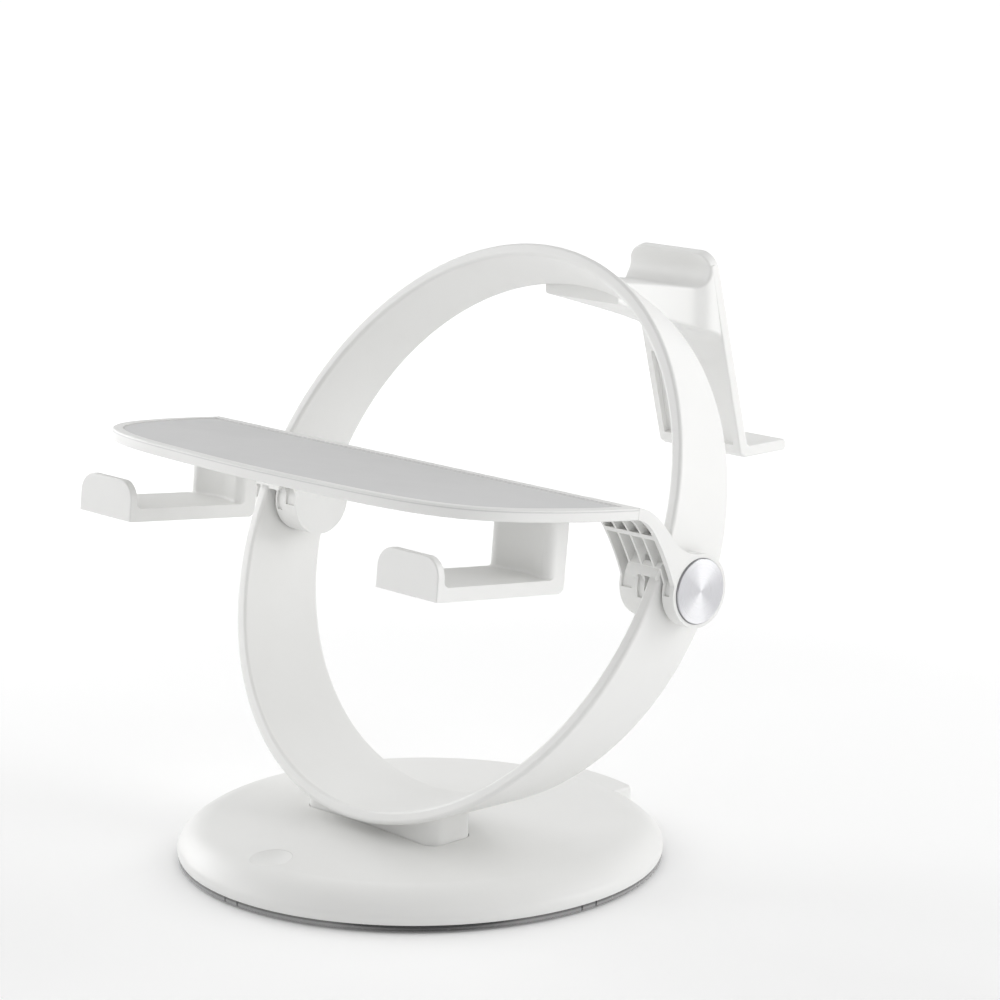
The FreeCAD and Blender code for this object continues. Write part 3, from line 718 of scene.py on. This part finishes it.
@dataclass
class CapDiscs:
    """The two aluminium discs on the outer ears, turned with fine concentric grooves."""

    thickness: float = 1.9 * MILLIMETRE
    groove_pitch: float = 0.30 * MILLIMETRE
    groove_depth: float = 0.026 * MILLIMETRE
    chamfer: float = 0.35 * MILLIMETRE
    shadow_gap: float = 0.02 * MILLIMETRE
    steps: int = 144
    weld: float = 0.001 * MILLIMETRE
    sharp_angle: float = math.radians(40.0)

    def profile(self, radius: float, seat: float, face: float) -> list[tuple[float, float]]:
        """Half section of the disc as places along the axis and distances from it.

        Args:
            radius: Outer radius of the disc.
            seat: Place of its back along the axis.
            face: Place of its front along the axis.

        Returns:
            Points from the middle of the back, round the rim, to the middle of the front.
        """
        flat = radius - self.chamfer
        points = [(seat, 0.0), (seat, radius), (face - self.chamfer, radius), (face, flat)]
        grooves = int(flat / self.groove_pitch) - 1
        first = flat - 0.5 * self.groove_pitch
        for number in range(grooves):
            ridge = first - number * self.groove_pitch
            points.append((face, ridge))
            points.append((face - self.groove_depth, ridge - 0.5 * self.groove_pitch))
        points.append((face, 0.0))
        return points

    def disc(self, mesh: bmesh.types.BMesh, side: int, centre: Vector, radius: float,
             face: float) -> None:
        """Spins one disc into the mesh.

        Args:
            mesh: The mesh that receives it.
            side: 1 for the right disc and -1 for the left one.
            centre: Point of the shared axis midway between the discs.
            radius: Outer radius of the disc.
            face: Distance of its front from the centre.
        """
        rail = [mesh.verts.new((side * along, centre.y + out, centre.z))
                for along, out in self.profile(radius, face - self.thickness, face)]
        edges = [mesh.edges.new(pair) for pair in zip(rail, rail[1:])]
        bmesh.ops.spin(mesh, geom=rail + edges, cent=centre, axis=(1.0, 0.0, 0.0),
                       steps=self.steps, angle=FULL_TURN, use_merge=True)

    def build(self) -> None:
        """Makes both discs in place of the plain ones and gives them their finish."""
        low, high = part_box("outer_caps")
        centre = Vector((0.0, 0.5 * (low.y + high.y), 0.5 * (low.z + high.z)))
        radius = 0.5 * (high.z - low.z) - self.shadow_gap
        work = bmesh.new()
        for side in (1, -1):
            self.disc(work, side, centre, radius, high.x)
        bmesh.ops.remove_doubles(work, verts=work.verts, dist=self.weld)
        bmesh.ops.recalc_face_normals(work, faces=work.faces)
        mesh = bpy.data.meshes.new("turned_discs")
        work.to_mesh(mesh)
        work.free()
        mesh.shade_smooth()
        mesh.set_sharp_from_angle(angle=self.sharp_angle)
        mesh.materials.append(TurnedMetal("brushed_cap", tuple(centre), radius).material())
        discs = bpy.data.objects.new("turned_discs", mesh)
        bpy.context.scene.collection.objects.link(discs)
        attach(discs, Body.TRAY.value)
        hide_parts("outer_caps")
        log.info("built the turned discs with %d faces", len(mesh.polygons))


@dataclass(frozen=True)
class Bank:
    """One soft rectangular lamp: where it hangs, its face and its power in watts."""

    name: str
    place: Triple
    width: float
    height: float
    power: float


@dataclass
class Studio:
    """Pale floor, soft lights and the camera."""

    floor_colour: Colour = (0.92, 0.92, 0.92)
    floor_roughness: float = 0.9
    floor_half: float = 20.0
    floor_glow_near: float = 0.10
    floor_glow_far: float = 0.62
    glow_start: float = 0.35
    glow_end: float = 1.9
    room_light: float = 0.455
    azimuth: float = 47.05
    elevation: float = 12.12
    distance: float = 1.235
    target: Triple = (0.0458, 0.0, 0.1488)
    lamp_target: Triple = (0.0, 0.0, 0.13)
    focal_pixels: float = 3309.8
    frame_pixels: float = 1000.0
    sensor_width: float = 36.0
    clip_end: float = 60.0
    banks: tuple[Bank, ...] = (
        Bank("left_bank", (-1.0, -1.05, 0.8), 1.0, 1.2, 5.9),
        Bank("right_bank", (1.0, 1.05, 0.8), 1.0, 1.2, 10.2),
        Bank("front_bank", (1.0, -0.95, 1.2), 1.0, 1.0, 0.4),
        Bank("back_bank", (-1.0, 0.95, 1.1), 1.2, 1.0, 2.3),
        Bank("east_bank", (1.5, 0.1, 0.5), 1.0, 0.8, 1.8),
        Bank("west_bank", (-1.5, -0.1, 0.6), 1.0, 0.8, 8.6),
        Bank("north_bank", (-0.1, 1.5, 0.6), 1.0, 0.8, 2.4),
    )

    def camera(self) -> None:
        """Sets the camera at the photograph's viewing angle."""
        turn = math.radians(self.azimuth)
        rise = math.radians(self.elevation)
        level = math.cos(rise)
        away = Vector((math.sin(turn) * level, -math.cos(turn) * level, math.sin(rise)))
        data = bpy.data.cameras.new("camera")
        data.sensor_width = self.sensor_width
        data.lens = self.focal_pixels * self.sensor_width / self.frame_pixels
        data.clip_end = self.clip_end
        camera = bpy.data.objects.new("camera", data)
        camera.location = Vector(self.target) + away * self.distance
        camera.rotation_euler = (-away).to_track_quat("-Z", "Y").to_euler()
        bpy.context.scene.collection.objects.link(camera)
        bpy.context.scene.camera = camera

    def floor_material(self) -> bpy.types.Material:
        """A pale floor with painted light: it glows more away from the stand, so it keeps a
        painted shade near the stand, as a studio sweep does.
        """
        graph = Graph("studio_floor")
        far = graph.length(graph.place())
        share = ((far - self.glow_start) / (self.glow_end - self.glow_start)).clamped()
        glow = self.floor_glow_near + (self.floor_glow_far - self.floor_glow_near) * share
        # Painted light: the emitted glow of a floor that is no lamp.
        grey = graph.node("ShaderNodeCombineColor", None, {0: glow, 1: glow, 2: glow})
        return graph.surface(
            Base_Color=(*self.floor_colour, 1.0),
            Roughness=self.floor_roughness,
            Emission_Color=grey,
            Emission_Strength=1.0,
        )

    def floor(self) -> None:
        """Lays a wide pale floor."""
        sheet = bmesh.new()
        bmesh.ops.create_grid(sheet, x_segments=2, y_segments=2, size=self.floor_half)
        mesh = bpy.data.meshes.new("studio_floor")
        sheet.to_mesh(mesh)
        sheet.free()
        floor = bpy.data.objects.new("studio_floor", mesh)
        bpy.context.scene.collection.objects.link(floor)
        mesh.materials.append(self.floor_material())

    def hang(self, bank: Bank) -> None:
        """Hangs one lamp so that it faces the stand.

        Args:
            bank: The lamp's place, size and power.
        """
        data = bpy.data.lights.new(bank.name, "AREA")
        data.shape = "RECTANGLE"
        data.size = bank.width
        data.size_y = bank.height
        data.energy = bank.power
        light = bpy.data.objects.new(bank.name, data)
        light.location = bank.place
        aim = Vector(self.lamp_target) - Vector(bank.place)
        light.rotation_euler = aim.to_track_quat("-Z", "Y").to_euler()
        bpy.context.scene.collection.objects.link(light)

    def world(self) -> None:
        """Lights the room evenly with white."""
        world = bpy.data.worlds.new("studio")
        world.use_nodes = True
        background = world.node_tree.nodes["Background"]
        background.inputs["Color"].default_value = WHITE_COLOUR
        background.inputs["Strength"].default_value = self.room_light
        bpy.context.scene.world = world
        bpy.context.scene.view_settings.view_transform = "Standard"

    def build(self) -> None:
        """Sets up the whole studio."""
        self.camera()
        self.floor()
        self.world()
        for bank in self.banks:
            self.hang(bank)


def main() -> None:
    """Builds every sub-assembly in order."""
    logging.basicConfig(level=logging.INFO, format="%(message)s")
    for part in (Base(), Hoop(), Holder(), Tray(), CapDiscs(), Studio()):
        part.build()
        log.info("built %s", type(part).__name__)


if __name__ == "__main__":
    main()
